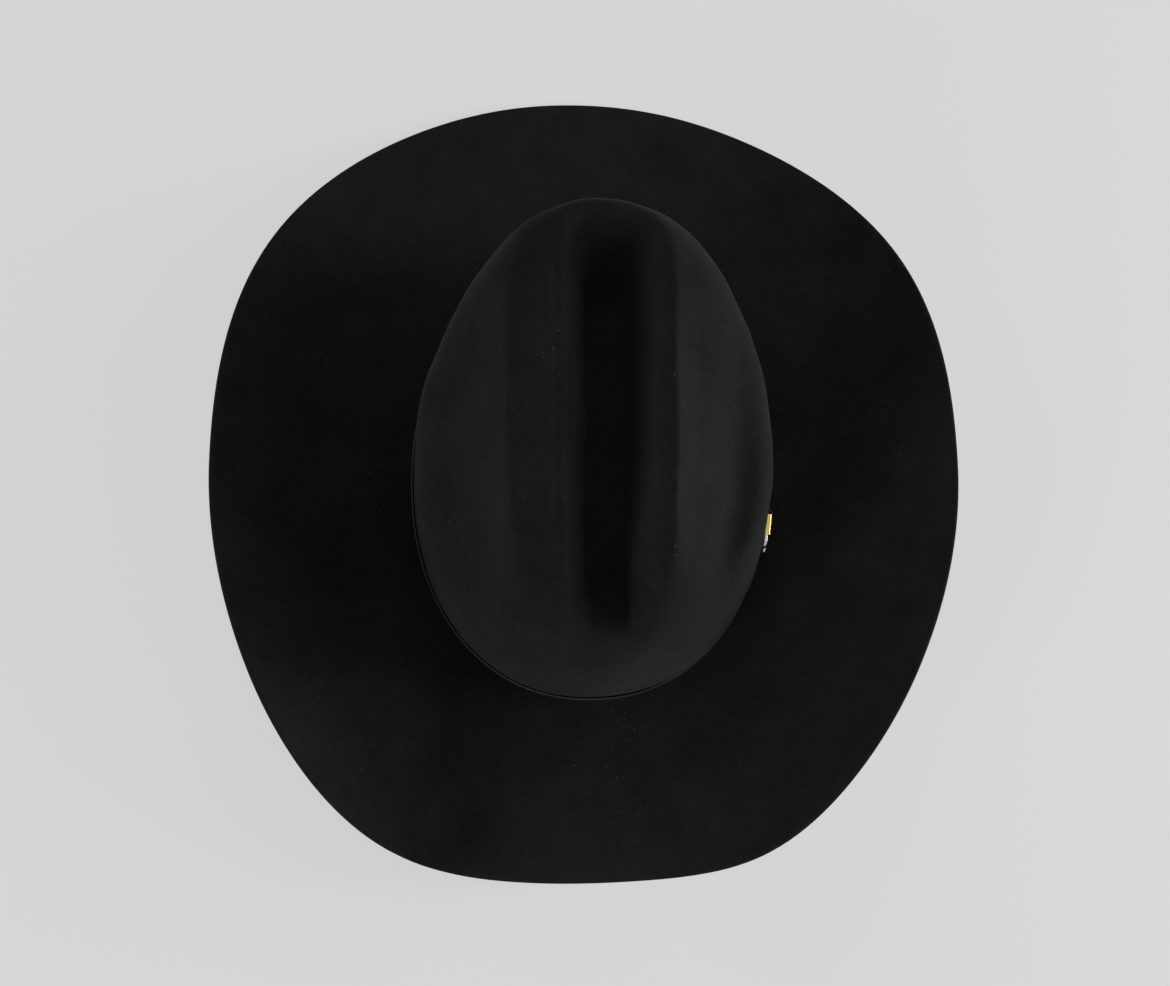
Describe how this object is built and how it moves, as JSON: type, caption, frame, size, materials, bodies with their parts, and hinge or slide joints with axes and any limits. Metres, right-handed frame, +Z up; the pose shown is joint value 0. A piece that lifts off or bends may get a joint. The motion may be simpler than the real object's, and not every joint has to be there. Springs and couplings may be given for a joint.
{
  "type": "cowboy hat",
  "caption": "Western felt hat with a creased oval crown, a rolled brim, a sweatband, a lining and a buckled strap as hat band.",
  "frame": {"origin": "on the table that the hat stands on, under the middle of its brim", "axes": "+Z up, -Y the way the wearer faces, so +X is the wearer's left"},
  "size_m": [0.344, 0.4052, 0.1403],
  "materials": {
    "felt": "soft black wool felt, brushed, with a short nap",
    "leather": "smooth dark brown sweatband leather",
    "reed": "plain extruded plastic",
    "tape": "woven cotton tape",
    "satin_bow": "narrow satin ribbon",
    "satin": "black satin lining",
    "piping": "covered cord",
    "strap": "black leather with a light sheen",
    "silver_tone": "polished plate, a little worn",
    "steel": "drawn wire",
    "gold_tone": "polished gold-tone plate"
  },
  "bodies": {
    "hat": {"felt_body": "felt", "sweatband": "leather", "sweatband_reed": "reed", "reed_tape": "tape", "sweatband_seam": "tape", "sweatband_bow": "satin_bow", "lining_tip": "satin", "lining_side": "satin", "lining_piping": "piping", "hat_band": "strap", "band_tip": "silver_tone"},
    "frame": {"buckle_frame": "silver_tone", "hinge_bar": "steel", "buckle_trim": "gold_tone"},
    "prong": {"buckle_prong": "silver_tone"},
    "keeper": {"band_keeper": "strap"}
  },
  "joints": [
    {"name": "frame_pivot", "type": "hinge", "parent": "hat", "child": "frame", "pos_m": [0.08922, -0.02021, 0.03651], "axis": [0, 0.0617, 0.9981], "range_deg": [0, 5]},
    {"name": "prong_pivot", "type": "hinge", "parent": "frame", "child": "prong", "pos_m": [0.08922, -0.02021, 0.03651], "axis": [0, 0.0617, 0.9981], "range_deg": [0, 15]},
    {"name": "keeper_slide", "type": "slide", "parent": "hat", "child": "keeper", "axis": [0.0428, 0.9972, -0.0617], "range_m": [-0.0014, 0.0014]}
  ]
}
